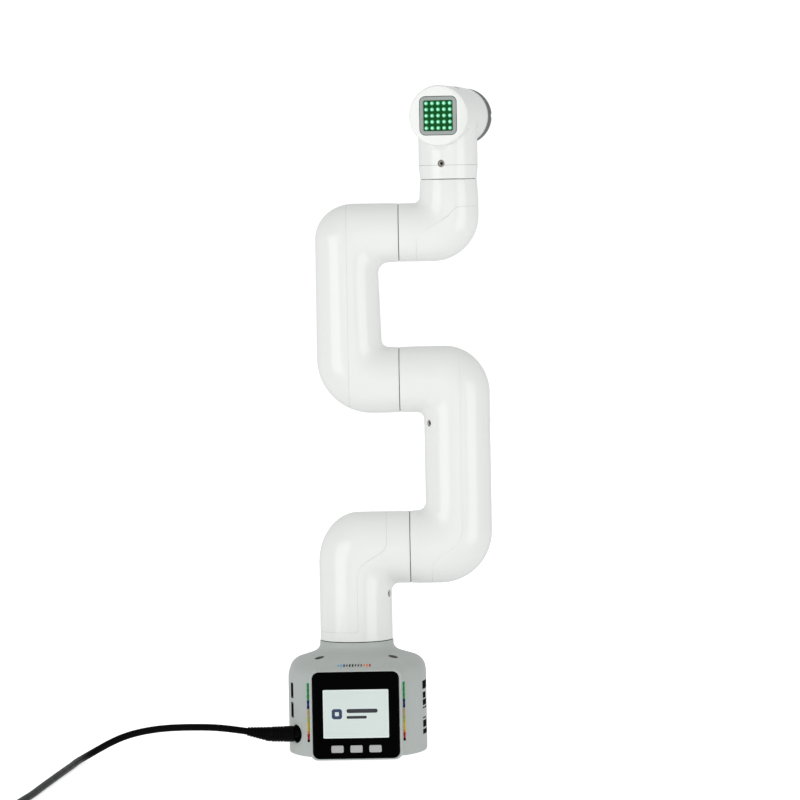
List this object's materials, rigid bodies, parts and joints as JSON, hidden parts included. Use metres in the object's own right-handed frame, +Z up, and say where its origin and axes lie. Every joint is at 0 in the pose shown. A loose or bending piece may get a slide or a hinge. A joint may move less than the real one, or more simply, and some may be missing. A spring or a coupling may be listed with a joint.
{
  "type": "desktop robot arm",
  "caption": "Tubular white robot arm with offset elbows on a grey base with a small screen module, a light panel head, a tool flange and a coiled power lead.",
  "frame": {"origin": "where the turntable axis meets the base's underside", "axes": "+Z up along the turntable axis, +Y towards the back, so the screen faces -Y; the shoulder stub runs to +X"},
  "size_m": [0.365, 0.396, 0.4328],
  "materials": {
    "white_shell": "satin gloss moulded ABS",
    "grey_shell": "fine matte moulded ABS",
    "black_case": "polished black",
    "screen": "lit display under clear glass",
    "keys": "fine matte",
    "servo": "matte",
    "metal": "turned",
    "screws": "blackened steel",
    "board": "circuit board",
    "flange": "fine matte",
    "lights": "lit green lenses",
    "labels": "printed tag",
    "lead": "smooth black PVC"
  },
  "bodies": {
    "base": {"base_housing": "grey_shell", "base_bottom_plate": "grey_shell", "bottom_plate_screw_1": "screws", "bottom_plate_screw_2": "screws", "bottom_plate_screw_3": "screws", "bottom_plate_screw_4": "screws", "base_screw_left": "screws", "base_screw_right": "screws", "controller_case": "black_case", "display_panel": "screen", "controller_board": "board", "pin_strip_left": "labels", "pin_strip_right": "labels", "port_socket_upper": "labels", "port_socket_lower": "labels", "power_jack": "labels", "turntable_servo": "servo", "power_plug": "lead", "plug_strain_relief": "lead", "power_lead": "lead", "power_lead_coil": "lead", "power_lead_tail": "lead", "coil_tie": "lead", "lead_end_connector": "lead"},
    "shoulder": {"turntable_output_disc": "metal", "shoulder_housing": "white_shell", "shoulder_cover": "white_shell", "shoulder_screw": "screws", "shoulder_servo": "servo"},
    "upper_arm": {"shoulder_output_disc": "metal", "upper_arm_housing": "white_shell", "upper_arm_cover": "white_shell", "upper_arm_screw": "screws", "elbow_servo": "servo"},
    "forearm": {"elbow_output_disc": "metal", "forearm_housing": "white_shell", "forearm_cover": "white_shell", "wrist_servo": "servo"},
    "wrist_link": {"wrist_output_disc": "metal", "wrist_link_housing": "white_shell", "wrist_link_cover": "white_shell", "swivel_servo": "servo"},
    "head": {"swivel_output_disc": "metal", "head_housing": "white_shell", "head_front_cap": "white_shell", "light_panel_bezel": "keys", "light_matrix_board": "board", "flange_servo": "servo", "head_screw": "screws"},
    "flange": {"flange_output_disc": "metal", "tool_flange": "flange"},
    "left_button": {"controller_button_left": "keys"},
    "middle_button": {"controller_button_middle": "keys"},
    "right_button": {"controller_button_right": "keys"},
    "matrix_button": {"light_matrix_button": "lights"}
  },
  "joints": [
    {"name": "turntable", "type": "hinge", "parent": "base", "child": "shoulder", "pos_m": [0, 0, 0.0715], "axis": [0, 0, 1], "range_deg": [-165, 165]},
    {"name": "shoulder_pitch", "type": "hinge", "parent": "shoulder", "child": "upper_arm", "pos_m": [0.0363, 0, 0.1316], "axis": [1, 0, 0], "range_deg": [-125, 125]},
    {"name": "elbow_pitch", "type": "hinge", "parent": "upper_arm", "child": "forearm", "pos_m": [0.0312, 0, 0.2414], "axis": [-1, 0, 0], "range_deg": [-150, 150]},
    {"name": "wrist_pitch", "type": "hinge", "parent": "forearm", "child": "wrist_link", "pos_m": [0.0323, 0, 0.3375], "axis": [1, 0, 0], "range_deg": [-120, 130]},
    {"name": "wrist_swivel", "type": "hinge", "parent": "wrist_link", "child": "head", "pos_m": [0.0655, 0, 0.3718], "axis": [0, 0, 1], "range_deg": [-165, 165]},
    {"name": "flange_roll", "type": "hinge", "parent": "head", "child": "flange", "pos_m": [0.07461, 0.02942, 0.413], "axis": [0.2957, 0.9553, 0], "range_deg": [-175, 175]},
    {"name": "left_button_press", "type": "slide", "parent": "base", "child": "left_button", "axis": [0, 1, 0], "range_m": [0, 0.0006], "stiffness_N_per_m": 900},
    {"name": "middle_button_press", "type": "slide", "parent": "base", "child": "middle_button", "axis": [0, 1, 0], "range_m": [0, 0.0006], "stiffness_N_per_m": 900},
    {"name": "right_button_press", "type": "slide", "parent": "base", "child": "right_button", "axis": [0, 1, 0], "range_m": [0, 0.0006], "stiffness_N_per_m": 900},
    {"name": "matrix_button_press", "type": "slide", "parent": "head", "child": "matrix_button", "axis": [0.2957, 0.9553, 0], "range_m": [0, 0.0004], "stiffness_N_per_m": 900}
  ]
}
